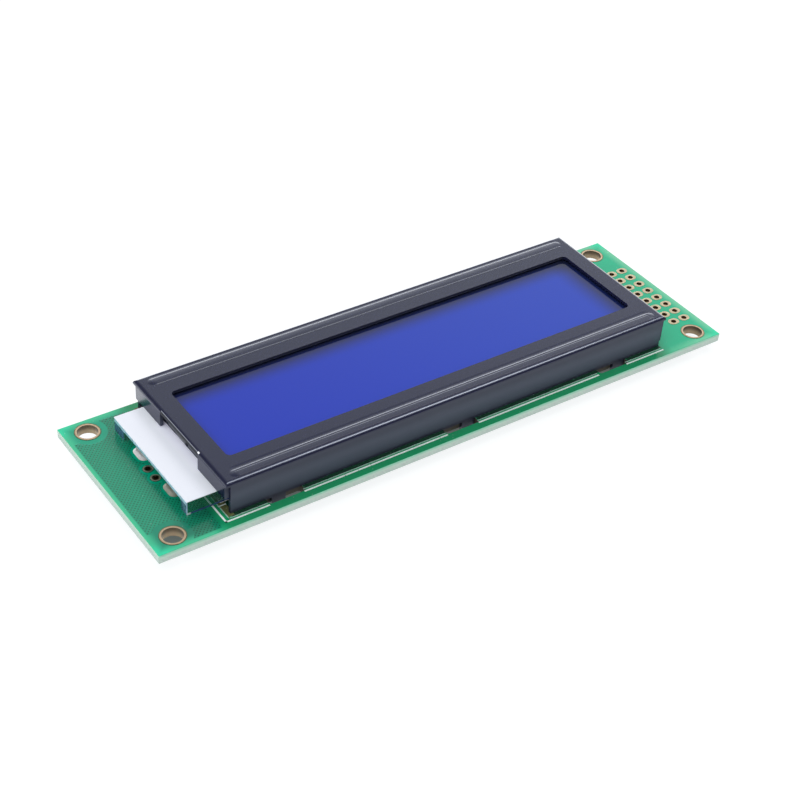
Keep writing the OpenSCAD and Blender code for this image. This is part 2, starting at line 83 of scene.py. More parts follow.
class Wiring:
    """Adds nodes to one tree. An input is a plain value or the output of another node."""

    def __init__(self, tree):
        self.tree = tree

    def add(self, kind, inputs=None, out=0, **settings):
        made = self.tree.nodes.new("ShaderNode" + kind)
        for name, value in settings.items():
            setattr(made, name, value)
        for key, value in (inputs or {}).items():
            self.join(value, made.inputs[key])
        return made.outputs[out]

    def join(self, value, socket):
        if isinstance(value, bpy.types.NodeSocket):
            self.tree.links.new(value, socket)
        elif socket.type == "RGBA" and len(value) == 3:
            socket.default_value = (*value, 1)
        else:
            socket.default_value = value

    def math(self, operation, *values):
        return self.add("Math", dict(enumerate(values)), operation=operation)

    def chain(self, operation, values):
        result = values[0]
        for value in values[1:]:
            result = self.math(operation, result, value)
        return result

    def sum(self, *values):
        return self.chain("ADD", values)

    def product(self, *values):
        return self.chain("MULTIPLY", values)

    def highest(self, *values):
        return self.chain("MAXIMUM", values)

    def lowest(self, *values):
        return self.chain("MINIMUM", values)

    def difference(self, value, taken):
        return self.math("SUBTRACT", value, taken)

    def invert(self, value):
        return self.difference(1, value)

    def absolute(self, value):
        return self.math("ABSOLUTE", value)

    def ramp(self, value, start, end, low, high):
        """Smooth change from low at the start to high at the end, level beyond them."""
        return self.add(
            "MapRange",
            {0: value, 1: start, 2: end, 3: low, 4: high},
            interpolation_type="SMOOTHSTEP",
        )

    def over(self, value, edge, soft):
        """0 below the edge and 1 above it, with a soft step between."""
        return self.ramp(value, edge - soft / 2, edge + soft / 2, 0, 1)

    def under(self, value, edge, soft):
        """1 below the edge and 0 above it."""
        return self.invert(self.over(value, edge, soft))

    def between(self, value, low, high, soft):
        """1 between two edges."""
        return self.product(self.over(value, low, soft), self.under(value, high, soft))

    def rectangle(self, x, y, corners, soft):
        """1 inside a rectangle in plan, given as its lowest x and y and its highest x and y."""
        x0, y0, x1, y1 = corners
        return self.product(self.between(x, x0, x1, soft), self.between(y, y0, y1, soft))

    def distance(self, x, y, centre, stretch=1):
        """Distance in plan from a place. A stretch over 1 gives ellipses that are long in y."""
        dx = self.difference(x, centre[0])
        dy = self.math("DIVIDE", self.difference(y, centre[1]), stretch)
        return self.math("SQRT", self.sum(self.product(dx, dx), self.product(dy, dy)))

    def blend(self, factor, first, second):
        """Colour mix: the first at 0, the second at 1."""
        return self.add("Mix", {0: factor, 6: first, 7: second}, out=2, data_type="RGBA")

    def shade(self, colour, tone):
        """A colour times a tone."""
        return self.add("VectorMath", {0: colour, 3: tone}, operation="SCALE")

    def place(self):
        """Object coordinates in millimetres."""
        spot = self.add("TexCoord", out=3)
        return self.add("VectorMath", {0: spot, 3: 1 / MM}, operation="SCALE")

    def axes(self, vector):
        made = self.tree.nodes.new("ShaderNodeSeparateXYZ")
        self.tree.links.new(vector, made.inputs[0])
        return made.outputs

    def facing(self):
        """Parts along x, y and z of the way that a face points."""
        return self.axes(self.add("NewGeometry", out=1))

    def noise(self, vector, scale, detail, roughness):
        return self.add(
            "TexNoise",
            {"Vector": vector, "Scale": scale, "Detail": detail, "Roughness": roughness},
        )

    def bump(self, height):
        """Normal from a height in millimetres."""
        return self.add("Bump", {"Height": height, "Strength": 1, "Distance": MM})

    def effect(self, group, out, **values):
        made = self.tree.nodes.new("ShaderNodeGroup")
        made.node_tree = group
        for name, value in values.items():
            self.join(value, made.inputs[name.capitalize()])
        if isinstance(out, str):
            return made.outputs[out]
        return [made.outputs[name] for name in out]

    def principled(self, **values):
        made = self.tree.nodes.new("ShaderNodeBsdfPrincipled")
        for name, value in values.items():
            self.join(value, made.inputs[name.replace("_", " ").title().replace("Ior", "IOR")])
        return made.outputs[0]

    def show(self, shader):
        made = self.tree.nodes.new("ShaderNodeOutputMaterial")
        self.tree.links.new(shader, made.inputs["Surface"])


def new_material(name):
    made = bpy.data.materials.new(name)
    made.use_nodes = True
    made.node_tree.nodes.clear()
    return made, Wiring(made.node_tree)


def new_effect(name, inputs, outputs):
    """A node group: its wiring, its inputs by name and the node that takes its outputs."""
    group = bpy.data.node_groups.new(name, "ShaderNodeTree")
    sockets = group.interface
    for socket, kind, value in inputs:
        made = sockets.new_socket(socket, in_out="INPUT", socket_type="NodeSocket" + kind)
        if value is not None:
            made.default_value = value
    for socket, kind in outputs:
        sockets.new_socket(socket, in_out="OUTPUT", socket_type="NodeSocket" + kind)
    given = group.nodes.new("NodeGroupInput")
    taken = group.nodes.new("NodeGroupOutput")
    return group, Wiring(group), given.outputs, taken.inputs


# Effects that several finishes share

def make_relief():
    """Fine uneven skin of paint, moulded plastic, mask or solder."""
    group, w, given, taken = new_effect(
        "fine_relief",
        [("Place", "Vector", None), ("Grain", "Float", 1.0), ("Depth", "Float", 0.001)],
        [("Height", "Float"), ("Tone", "Float")],
    )
    fine = w.noise(given["Place"], w.math("DIVIDE", 1, given["Grain"]), 3, 0.55)
    w.join(w.product(w.difference(fine, 0.5), given["Depth"]), taken["Height"])
    w.join(fine, taken["Tone"])
    return group


def make_variation():
    """Slow change of tone over a face, with a few specks."""
    group, w, given, taken = new_effect(
        "slow_variation",
        [("Place", "Vector", None), ("Size", "Float", 8.0), ("Amount", "Float", 0.1)],
        [("Tone", "Float"), ("Speck", "Float")],
    )
    slow = w.noise(given["Place"], w.math("DIVIDE", 1, given["Size"]), 2, 0.5)
    tone = w.sum(1, w.product(w.difference(slow, 0.5), 2, given["Amount"]))
    w.join(tone, taken["Tone"])
    dots = w.add(
        "TexVoronoi", {"Vector": given["Place"], "Scale": 0.9, "Randomness": 1.0}, feature="F1"
    )
    w.join(w.under(dots, 0.06, 0.03), taken["Speck"])
    return group


def make_copper_web():
    """Square lattice of copper at 45 degrees: 1 on the copper lines, 0 in the open squares."""
    group, w, given, taken = new_effect(
        "copper_web",
        [("Place", "Vector", None), ("Pitch", "Float", 0.5)],
        [("Copper", "Float")],
    )
    x, y, _ = w.axes(given["Place"])
    open_squares = 1
    for across in (w.sum(x, y), w.difference(x, y)):
        turned = w.math("DIVIDE", w.product(across, math.sqrt(0.5)), given["Pitch"])
        wave = w.math("PINGPONG", turned, 0.5)
        open_squares = w.product(open_squares, w.over(wave, 0.27, 0.14))
    w.join(w.invert(open_squares), taken["Copper"])
    return group


relief = make_relief()
variation = make_variation()
copper_web = make_copper_web()


# Finishes

def plain_finish(name, colour, roughness, depth=0.002, grain=0.4, amount=0.06, **more):
    """A moulded, painted or plated finish: colour and gloss vary slowly, the skin is uneven."""
    made, w = new_material(name)
    place = w.place()
    height, fine = w.effect(relief, ("Height", "Tone"), place=place, grain=grain, depth=depth)
    tone = w.effect(variation, "Tone", place=place, size=6, amount=amount)
    gloss = w.product(roughness, w.ramp(fine, 0.25, 0.75, 0.88, 1.12))
    w.show(w.principled(
        base_color=w.shade(colour, tone), roughness=gloss, normal=w.bump(height), **more
    ))
    return made


# Solder mask over bare board, over copper and along the edges, and the board where it is cut
MASK_LEFT = (0.000, 0.345, 0.193)
MASK_RIGHT = (0.000, 0.470, 0.235)
MASK_OVER_COPPER = (0.006, 0.310, 0.168)
MASK_SQUARE = (0.000, 0.105, 0.046)
MASK_TRACK_GAP = (0.000, 0.130, 0.070)
MASK_STRIP = (0.010, 0.285, 0.108)
MASK_BY_WALL = (0.120, 0.130, 0.050)
# the edge and corner colours of the mask carry painted light that shines through the laminate
MASK_EDGE_LEFT = (0.045, 0.545, 0.280)
MASK_EDGE_RIGHT = (0.160, 0.600, 0.345)
MASK_CORNER_LIT = (0.020, 0.690, 0.370)
LAMINATE = (0.740, 0.900, 0.780)
LAMINATE_DARK = (0.600, 0.740, 0.630)
LAMINATE_MARK = (0.560, 0.620, 0.600)
SHADED_SLOT_WALL = (0.075, 0.062, 0.045)


def web_area(w, x, y):
    """1 where the copper web lies: at the lamp end, open round the mounting holes, the lamp's
    lands and its lead holes, and in the board's corners."""
    corner_y, mount_reach, land_reach, land_stretch, lead_reach = 12.5, 3.3, 1.55, 1.55, 1.4
    area = w.rectangle(x, y, (-57.35, -16.75, POUR_START, 16.2), 0.15)
    for side in (-1, 1):
        corner = w.product(w.under(x, -MOUNT_X, 0.1), w.over(w.product(y, side), corner_y, 0.1))
        mount = w.distance(x, y, (-MOUNT_X, side * MOUNT_Y))
        land = w.distance(x, y, (LAND_X, side * LAND_Y), land_stretch)
        lead = w.distance(x, y, (LEAD_X, side * LEAD_Y))
        area = w.product(
            area, w.invert(corner), w.over(mount, mount_reach, 0.1),
            w.over(land, land_reach, 0.1), w.over(lead, lead_reach, 0.1),
        )
    return area


def top_of_board(w, x, y, edge, area, web):
    """Colour of the upper face: mask over the copper web, the open board and the pour."""
    # painted shade: the copper web is darker towards the guide
    webbed_shaded = w.shade(
        w.blend(web, MASK_SQUARE, MASK_OVER_COPPER), w.ramp(x, -54.5, -51.0, 1.0, 0.80)
    )
    # painted light: the open board is lighter along its edges and in its corners, where light
    # shines through the laminate
    lit_edge_colour = w.blend(w.over(x, 50, 12), MASK_EDGE_LEFT, MASK_EDGE_RIGHT)
    for end in (BOARD_LOW.x, BOARD_HIGH.x):
        for side in (BOARD_LOW.y, BOARD_HIGH.y):
            near = w.under(w.distance(x, y, (end, side)), 2.2, 2.4)
            lit_edge_colour = w.blend(near, lit_edge_colour, MASK_CORNER_LIT)
    # painted reflection: the open board at the left end is lighter towards the back
    left_reflected_colour = w.shade(MASK_LEFT, w.ramp(y, -16, 10, 0.72, 1.0))
    open_face = w.blend(w.over(x, 0, 1), left_reflected_colour, MASK_RIGHT)
    open_face = w.blend(w.under(edge, 1.0, 2.0), open_face, lit_edge_colour)
    open_face = w.blend(w.between(x, POUR_START, POUR_END, 4.0), open_face, MASK_STRIP)
    colour = w.blend(area, open_face, webbed_shaded)
    # painted shade: the guide's on the board in front of it, the bezel's in a line at its foot
    guide_shade = w.rectangle(x, y, (-53.0, -16.0, -46.0, -12.0), 2.0)
    foot_shade = w.rectangle(x, y, (-44.0, -15.4, 45.5, -10.0), 0.12)
    colour = w.shade(colour, w.product(
        w.ramp(guide_shade, 0, 1, 1, 0.78), w.ramp(foot_shade, 0, 1, 1, 0.14)
    ))
    by_wall = w.rectangle(x, y, (-44.6, -15.2, -43.4, 16.2), 0.08)
    return w.blend(by_wall, colour, MASK_BY_WALL)


def bottom_of_board(w, x, y, edge):
    """Colour of the lower face: one pour of copper, open along the edges, and two fields of
    tracks, from chip to chip and to the interface holes."""
    caps = sorted((span("controller_cap"), span("driver_cap")), key=lambda box: box[0].x)
    start, end = caps[0][1].x - 2, caps[1][0].x + 2
    colour = w.blend(w.over(edge, 0.8, 0.1), MASK_RIGHT, MASK_OVER_COPPER)
    fields = w.sum(
        w.rectangle(x, y, (start, -4.5, end, 5.5), 0.2),
        w.rectangle(x, y, (45.5, -10.6, 52.0, 7.8), 0.2),
    )
    track_pitch = 1.27
    gaps = w.over(w.math("PINGPONG", w.math("DIVIDE", y, track_pitch), 0.5), 0.22, 0.10)
    return w.blend(w.product(fields, gaps), colour, MASK_TRACK_GAP)


def rim_of_board(w, x, y, z):
    """Colour of the cut edges: pale layers of glass cloth, with slanted tool marks low down."""
    height = w.difference(z, BOARD_LOW.z)
    along = w.sum(x, y, w.product(height, 0.9))
    marks = w.noise(w.add("CombineXYZ", {0: along, 1: height}), 2.6, 3, 0.6)
    cloth = w.math("PINGPONG", w.sum(height, w.product(marks, 0.12)), 0.11)
    colour = w.blend(w.ramp(cloth, 0.02, 0.09, 0, 0.6), LAMINATE_DARK, LAMINATE)
    # the mask lends its green to the top of the rim, and less of it at the board's ends
    endways = w.ramp(w.absolute(w.facing()[0]), 0.5, 0.9, 0, 1)
    under_mask = w.blend(endways, (0.27, 0.70, 0.48), (0.62, 0.86, 0.68))
    colour = w.blend(w.ramp(height, 0.9, 1.45, 0, 0.75), colour, under_mask)
    marked = w.product(w.under(height, 0.75, 0.2), w.over(marks, 0.5, 0.25), 0.6)
    colour = w.blend(marked, colour, LAMINATE_MARK)
    # painted shade: the rim is darker on the board's ends
    colour = w.shade(colour, w.ramp(endways, 0, 1, 1.0, 0.78))
    # painted shade: the cut walls of the slots are dark, over the laminate's own brown
    slots = w.rectangle(x, y, (-50.0, -16.8, 50.0, 16.8), 0.2)
    colour = w.blend(slots, colour, SHADED_SLOT_WALL)
    mask_edge = w.over(height, 1.54, 0.03)
    return w.blend(mask_edge, colour, MASK_EDGE_LEFT)


def board_finish():
    """Solder mask on both faces, the copper under it, and the bare laminate of the rim."""
    made, w = new_material("solder_mask_board")
    place = w.place()
    x, y, z = w.axes(place)
    upward = w.facing()[2]
    face = w.over(w.absolute(upward), 0.5, 0.02)
    top = w.over(upward, 0, 0.02)
    # distance to the nearest edge of the board
    edge = w.lowest(
        w.difference(x, BOARD_LOW.x), w.difference(BOARD_HIGH.x, x),
        w.difference(y, BOARD_LOW.y), w.difference(BOARD_HIGH.y, y),
    )
    area = web_area(w, x, y)
    web = w.effect(copper_web, "Copper", place=place, pitch=0.508)
    mask = w.blend(top, bottom_of_board(w, x, y, edge), top_of_board(w, x, y, edge, area, web))
    tone, speck = w.effect(variation, ("Tone", "Speck"), place=place, size=7.0, amount=0.05)
    mask = w.shade(w.blend(w.product(speck, 0.5), mask, (0.5, 0.6, 0.55)), tone)
    skin = w.effect(relief, "Height", place=place, grain=0.35, depth=0.0012)
    web_height = w.product(area, web, top, 0.012)
    w.show(w.principled(
        base_color=w.blend(face, rim_of_board(w, x, y, z), mask),
        roughness=w.ramp(face, 0, 1, 0.7, 0.16),
        normal=w.bump(w.sum(skin, web_height)),
    ))
    return made


def pressed_rib(w, x, y, rib, foot_start, groove):
    """Height that turns an evenly arched rib into a flat one that slopes to the back, with a
    steep foot there and a fine groove before it."""
    middle, half = rib
    slope = -0.07
    off = w.difference(y, middle)
    arch = RIB_RISE / half ** 2
    front = w.lowest(off, 0)
    back = w.lowest(w.highest(off, 0), foot_start)
    foot = w.highest(w.difference(off, foot_start), 0)
    height = w.sum(
        w.product(front, front, arch), w.product(back, back, arch),
        w.product(off, slope), w.product(foot, slope),
        w.product(w.over(off, 0.20, 0.16), -groove),
        w.product(w.over(off, 0.44, 0.16), groove),
    )
    inside = w.product(w.over(off, -half, 0.06), w.ramp(off, 0.94, 1.70, 1, 0))
    return w.product(height, inside, w.between(x, -42.0, 43.5, 1.2))


def bezel_finish():
    """Satin black paint on the steel bezel, a little uneven and with a few dust specks."""
    made, w = new_material("bezel_black_paint")
    place = w.place()
    x, y, z = w.axes(place)
    facing = w.facing()
    fine = w.effect(relief, "Height", place=place, grain=0.22, depth=0.0010)
    broad = w.effect(relief, "Height", place=place, grain=1.6, depth=0.0022)
    tone, speck = w.effect(variation, ("Tone", "Speck"), place=place, size=14.0, amount=0.06)
    colour = w.blend(w.product(speck, 0.03), (0.010, 0.011, 0.036), (0.5, 0.5, 0.55))

    # cut edge of the steel over the gap in the left wall: a light line, worn steel with a
    # painted highlight, above a band of painted shade, and a painted glint at the front end of
    # the line
    gap = w.product(w.between(y, GAP_FRONT, GAP_BACK, 0.1), w.under(x, BEND_X, 0.06))
    shaded_band = w.product(gap, w.between(z, 9.30, 9.76, 0.04))
    colour = w.blend(shaded_band, colour, (0.006, 0.006, 0.010))
    worn = w.product(gap, w.between(z, 9.77, 9.85, 0.03))
    colour = w.blend(worn, colour, (0.27, 0.28, 0.32))
    spot = w.product(
        w.between(z, 9.72, 9.92, 0.05), w.between(y, -5.8, -5.3, 0.1), w.under(x, BEND_X, 0.1)
    )
    colour = w.blend(spot, colour, (0.95, 0.95, 0.98))

    # painted reflection: the front and back walls are lighter in the middle of their height,
    # and darker at the foot and near the top, painted shade
    wall = w.ramp(w.absolute(facing[1]), 0.85, 0.99, 0, 1)
    rise = w.difference(z, FACE_Z)
    middle = w.product(w.over(rise, 0.55, 0.6), w.ramp(rise, 3.0, 5.0, 1, 0))
    wall_reflection_colour = w.blend(middle, (0.022, 0.024, 0.046), (0.056, 0.063, 0.096))
    colour = w.blend(wall, colour, wall_reflection_colour)

    ribs = w.sum(
        pressed_rib(w, x, y, FRONT_RIB, foot_start=0.60, groove=0.022),
        pressed_rib(w, x, y, BACK_RIB, foot_start=0.55, groove=0),
    )
    ribs = w.product(ribs, w.over(facing[2], 0.5, 0.2))
    w.show(w.principled(
        base_color=w.shade(colour, tone),
        roughness=w.product(w.ramp(w.highest(wall, shaded_band), 0, 1, 0.24, 0.55), tone),
        normal=w.bump(w.sum(fine, broad, ribs)),
        ior=1.56,
        specular_tint=(0.85, 0.90, 1.0),
    ))
    return made


def guide_finish():
    """Clear moulded acrylic: what lies behind shows through, tinted by the face it enters,
    partly covered by painted colours that stand for the light it bends and reflects.
    """
    made, w = new_material("guide_clear_acrylic")
    place = w.place()
    x, y, z = w.axes(place)
    geometry = w.tree.nodes.new("ShaderNodeNewGeometry").outputs
    outer = w.invert(geometry["Backfacing"])
    facing = w.axes(geometry["Normal"])
    rise = w.difference(z, FACE_Z)
    end_face = w.over(w.absolute(facing[0]), 0.6, 0.2)
    side_face = w.over(w.absolute(facing[1]), 0.6, 0.2)
    # painted light on the clear plastic: a pale upper part of the left end and a blue line
    # along the front face's foot, painted reflections, with painted highlights at the line's
    # left end and on the front corner
    upper_end = w.product(end_face, w.under(x, -49.8, 0.1), w.over(rise, 2.0, 0.1))
    foot_reflection_line = w.product(side_face, w.under(y, -11.55, 0.1), w.under(rise, 0.50, 0.1))
    glint = w.product(w.under(x, -49.3, 0.3), foot_reflection_line)
    corner = w.product(w.under(x, -49.84, 0.06), w.under(y, -11.54, 0.06))

    # painted reflection: the navy ends and the green of the sides stand for what the clear
    # plastic reflects inside and shows of the shaded board
    end_reflection_colour = w.blend(w.over(y, -10.4, 0.6), (0.110, 0.165, 0.270), (0.052, 0.085, 0.200))
    body = w.blend(end_face, (0.040, 0.230, 0.130), end_reflection_colour)
    body = w.blend(upper_end, body, (0.42, 0.62, 0.74))
    body = w.blend(foot_reflection_line, body, (0.05, 0.09, 0.26))
    body = w.blend(corner, body, (0.36, 0.50, 0.66))
    body = w.blend(glint, body, (0.90, 0.94, 1.0))
    cover = w.highest(
        w.product(end_face, 0.85), w.product(side_face, 0.35), upper_end,
        w.product(foot_reflection_line, 0.9), corner,
    )
    height, tone = w.effect(relief, ("Height", "Tone"), place=place, grain=0.8, depth=0.003)
    normal = w.bump(height)
    coloured = w.principled(
        base_color=w.shade(body, w.ramp(tone, 0.3, 0.7, 0.75, 1.25)), roughness=0.2,
        normal=normal,
    )
    # painted reflection: what shows through the ends is tinted blue
    tint = w.blend(end_face, (0.80, 0.90, 0.88), (0.45, 0.60, 0.72))
    clear = w.add("BsdfTransparent", {0: tint})
    seen = w.add("MixShader", {0: w.product(cover, outer), 1: clear, 2: coloured})
    shine = w.principled(base_color=(1, 1, 1), metallic=1.0, roughness=0.05, normal=normal)
    fresnel = w.add("Fresnel", {"IOR": 1.45, "Normal": normal})
    w.show(w.add("MixShader", {0: w.product(fresnel, outer), 1: seen, 2: shine}))
    return made


def screen_finish():
    """Blue field of the display, painted on its glossy polarizer: lighter to the right, with
    painted shade along the bezel's back and right edges, and dark on the sheet's cut edges."""
    made, w = new_material("screen_blue_polarizer")
    place = w.place()
    x, y, _ = w.axes(place)
    tone = w.effect(variation, "Tone", place=place, size=30.0, amount=0.02)
    colour = w.blend(w.ramp(x, -40, 42, 0, 1), (0.0, 0.026, 0.440), (0.004, 0.043, 0.450))
    lit = w.product(w.ramp(y, 5.2, 10.5, 1, 0), w.ramp(x, 36.6, 43.3, 1, 0))
    colour = w.blend(lit, (0.006, 0.008, 0.020), colour)
    top = w.over(w.facing()[2], 0.5, 0.1)
    colour = w.blend(top, (0.020, 0.022, 0.035), colour)
    w.show(w.principled(base_color=w.shade(colour, tone), roughness=0.10, ior=1.46))
    return made


def film_finish():
    """White polyester film on the guide, very even, with a faint soft sheen."""
    made, w = new_material("guide_white_film")
    place = w.place()
    x, y, _ = w.axes(place)
    tone, speck = w.effect(variation, ("Tone", "Speck"), place=place, size=9.0, amount=0.012)
    # painted light: the film is whiter towards the bezel
    white = w.blend(w.ramp(x, -47.2, -45.2, 0, 1), (0.90, 0.91, 0.965), (0.945, 0.96, 1.0))
    colour = w.shade(w.blend(w.product(speck, 0.2), white, (0.55, 0.55, 0.60)), tone)
    # painted shade: the end of the film under the bezel is painted dark, as the gap there lies
    # in shade
    shaded_end = w.over(x, -43.45, 0.10)
    colour = w.blend(shaded_end, colour, (0.045, 0.048, 0.062))
    # the bezel's shade on the film is deeper here than in the photo, and a glow makes up for it
    beside = w.product(w.ramp(x, -46.6, -43.8, 0, 1), w.between(y, -6.5, 7.5, 2.0))
    lit = w.product(beside, w.invert(shaded_end))
    glow = w.blend(lit, (0, 0, 0), (0.125, 0.120, 0.170))
    fine = w.effect(relief, "Height", place=place, grain=3.0, depth=0.004)
    w.show(w.principled(
        base_color=colour, roughness=0.38, normal=w.bump(fine), emission_color=glow,
        emission_strength=1.0,
    ))
    return made


def solder_finish():
    """Tin solder: silver, faintly pink where the land's copper shows, with small dull pits. Its
    colours are painted lighter on the back land, as painted reflection, and darker on the front
    one, as painted shade."""
    made, w = new_material("bright_solder")
    place = w.place()
    tone, speck = w.effect(variation, ("Tone", "Speck"), place=place, size=1.2, amount=0.12)
    fine = w.effect(relief, "Height", place=place, grain=0.45, depth=0.016)
    # painted light: the back land is lighter, a painted reflection, and the front one darker,
    # painted shade
    behind = w.over(w.axes(place)[1], 0, 1)
    silver = w.blend(behind, (0.46, 0.45, 0.38), (0.90, 0.88, 0.87))
    copper = w.blend(behind, (0.38, 0.34, 0.26), (0.90, 0.76, 0.74))
    colour = w.blend(w.over(tone, 1.0, 0.1), silver, copper)
    colour = w.blend(speck, colour, (0.05, 0.04, 0.04))
    w.show(w.principled(
        base_color=colour, metallic=0.35, roughness=w.product(tone, 0.32), normal=w.bump(fine)
    ))
    return made


def chip_finish(node, body_colour):
    """Chip part: a dark body between two tinned ends, told apart by their place along it."""
    made, w = new_material(node + "_finish")
    low, high = span(node)
    size = high - low
    axis = 0 if size.x > size.y else 1
    end_length = 0.4
    place = w.place()
    off = w.absolute(w.difference(w.axes(place)[axis], (low[axis] + high[axis]) / 2))
    tinned = w.over(off, size[axis] / 2 - end_length, 0.01)
    height, fine = w.effect(relief, ("Height", "Tone"), place=place, grain=0.15, depth=0.006)
    body = w.shade(body_colour, w.ramp(fine, 0.2, 0.8, 0.8, 1.2))
    w.show(w.principled(
        base_color=w.blend(tinned, body, (0.70, 0.69, 0.67)), metallic=w.product(tinned, 0.9),
        roughness=w.ramp(tinned, 0, 1, 0.42, 0.28), normal=w.bump(height),
    ))
    return made


def ink_finish(name, pale, worn):
    """Silkscreen ink, a little worn and thin, so some green shows."""
    made, w = new_material(name)
    place = w.place()
    height, fine = w.effect(relief, ("Height", "Tone"), place=place, grain=0.18, depth=0.004)
    colour = w.blend(w.ramp(fine, 0.40, 0.70, 0, 0.7), pale, worn)
    w.show(w.principled(base_color=colour, roughness=0.5, normal=w.bump(height)))
    return made


def plating_finish(name, face_colour, barrel_colour, centre, clean):
    """Thin metal of a ring or pad, with painted shade down its hole that lightens towards the
    hole's lower end. On its face it is tarnished, save between two distances from its centre. A
    centre stands for all places that mirror it."""
    made, w = new_material(name)
    place = w.place()
    x, y, z = w.axes(place)
    tone = w.effect(variation, "Tone", place=place, size=1.2, amount=0.14)
    height = w.effect(relief, "Height", place=place, grain=0.3, depth=0.004)
    reach = w.distance(w.absolute(x), w.absolute(y), centre)
    face = w.blend(w.between(reach, *clean, 0.06), (0.16, 0.13, 0.07), face_colour)
    # painted shade down the hole: the barrel is dark, lighter towards its lower end
    barrel = w.shade(barrel_colour, w.ramp(z, BOARD_LOW.z + 0.3, FACE_Z - 0.3, 2.2, 0.7))
    colour = w.blend(w.over(w.absolute(w.facing()[2]), 0.5, 0.1), barrel, face)
    w.show(w.principled(
        base_color=w.shade(colour, tone), metallic=0.85, roughness=w.product(tone, 0.32),
        normal=w.bump(height),
    ))
    return made


FINISHES = {
    "ring": plating_finish(
        "mount_ring_plating", face_colour=(0.600, 0.440, 0.280),
        barrel_colour=(0.130, 0.095, 0.062), centre=(MOUNT_X, MOUNT_Y), clean=(0, 2.06),
    ),
    "pad": plating_finish(
        "interface_pad_plating", face_colour=(0.580, 0.480, 0.310),
        barrel_colour=(0.200, 0.130, 0.075), centre=(MOUNT_X, 0), clean=(0, 100),
    ),
    "lead_hole": plating_finish(
        "lead_hole_plating", face_colour=(0.66, 0.56, 0.46),
        barrel_colour=(0.050, 0.030, 0.018), centre=(-LEAD_X, LEAD_Y), clean=(0.60, 0.84),
    ),
    "lamp_body": plain_finish("lamp_white_plastic", (0.80, 0.79, 0.75), 0.45),
    "phosphor": plain_finish("lamp_phosphor_gel", (0.78, 0.62, 0.10), 0.35),
    "terminal": plain_finish("lamp_terminal_silver", (0.80, 0.79, 0.77), 0.25, metallic=0.95),
    "reflector": plain_finish("reflector_white_sheet", (0.86, 0.87, 0.88), 0.45),
    # painted shade: only the gap in the bezel's left wall shows the diffuser and the glass, and
    # that gap lies in shade, so they are painted dark, though the diffuser is white
    "diffuser": plain_finish("diffuser_shaded_sheet", (0.045, 0.055, 0.110), 0.5),
    "front_glass": plain_finish("front_glass_edge", (0.034, 0.037, 0.048), 0.15, depth=0.0005),
    "rear_glass": plain_finish("rear_glass_edge", (0.020, 0.026, 0.045), 0.12, depth=0.0005),
    "rear_polarizer": plain_finish("rear_polarizer_sheet", (0.05, 0.08, 0.25), 0.3),
    # painted shade: the clear resin of the seal is dark, as it lies in the gap's shade
    "seal": plain_finish("seal_clear_resin", (0.05, 0.055, 0.065), 0.12, depth=0.01),
    "rubber": plain_finish("contact_strip_rubber", (0.62, 0.26, 0.27), 0.6, depth=0.006),
    "epoxy": plain_finish(
        "chip_black_epoxy", (0.012, 0.012, 0.013), 0.22, depth=0.03, grain=2.5, amount=0.1
    ),
    "board": board_finish(),
    "bezel": bezel_finish(),
    "guide": guide_finish(),
    "screen": screen_finish(),
    "film": film_finish(),
    "solder": solder_finish(),
    "ink": ink_finish("white_silkscreen_ink", (0.90, 0.95, 0.92), (0.50, 0.72, 0.60)),
    # painted shade: the white ink of the line close to the bezel is darkened
    "shaded_ink": ink_finish("shaded_silkscreen_ink", (0.36, 0.54, 0.45), (0.10, 0.30, 0.20)),
}

DRESS = {
    "circuit_board": "board", "bezel": "bezel", "light_guide": "guide", "guide_film": "film",
    "guide_reflector": "reflector", "diffuser": "diffuser", "lamp_housing": "lamp_body",
    "lamp_window": "phosphor", "front_polarizer": "screen", "front_glass": "front_glass",
    "rear_glass": "rear_glass", "rear_polarizer": "rear_polarizer", "end_seal": "seal",
    "controller_cap": "epoxy", "driver_cap": "epoxy", "backlight_lead_plating": "lead_hole",
}
for name in parts:
    if name.startswith("mount_plating"):
        DRESS[name] = "ring"
    elif name.startswith("interface_plating"):
        DRESS[name] = "pad"
    elif name.startswith(("backlight_land", "backlight_solder")):
        DRESS[name] = "solder"
    elif name.startswith("lamp_terminal"):
        DRESS[name] = "terminal"
    elif name.startswith("contact_strip"):
        DRESS[name] = "rubber"
    elif "resistor" in name:
        FINISHES[name] = chip_finish(name, (0.014, 0.014, 0.016))
        DRESS[name] = name
    elif "capacitor" in name:
        FINISHES[name] = chip_finish(name, (0.34, 0.22, 0.13))
        DRESS[name] = name


def dress(obj, finish):
    """Gives every material slot of a piece one finish."""
    if not obj.material_slots:
        obj.data.materials.append(None)
    for place in obj.material_slots:
        place.material = finish


for name, obj in parts.items():
    dress(obj, FINISHES[DRESS[name]])


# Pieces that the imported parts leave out

def new_piece(name, bm, finish):
    """Makes a piece of a bmesh that is in millimetres, and fixes it to the module."""
    bmesh.ops.scale(bm, vec=(MM, MM, MM), verts=bm.verts)
    mesh = bpy.data.meshes.new(name)
    bm.to_mesh(mesh)
    bm.free()
    obj = bpy.data.objects.new(name, mesh)
    bpy.context.scene.collection.objects.link(obj)
    mesh.materials.append(finish)
    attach(obj, "root")
    return obj


def stroke(bm, start, end, width):
    """One printed line, as a thin bar on the board between two places."""
    ink_t = 0.025
    a, b = Vector(start), Vector(end)
    run = b - a
    turn = Matrix.Rotation(math.atan2(run.y, run.x), 4, "Z")
    middle = (a + b) / 2
    place = Matrix.Translation((middle.x, middle.y, FACE_Z + ink_t / 2)) @ turn
    size = Matrix.Diagonal((run.length + width, width, ink_t, 1))
    bmesh.ops.create_cube(bm, size=1, matrix=place @ size)


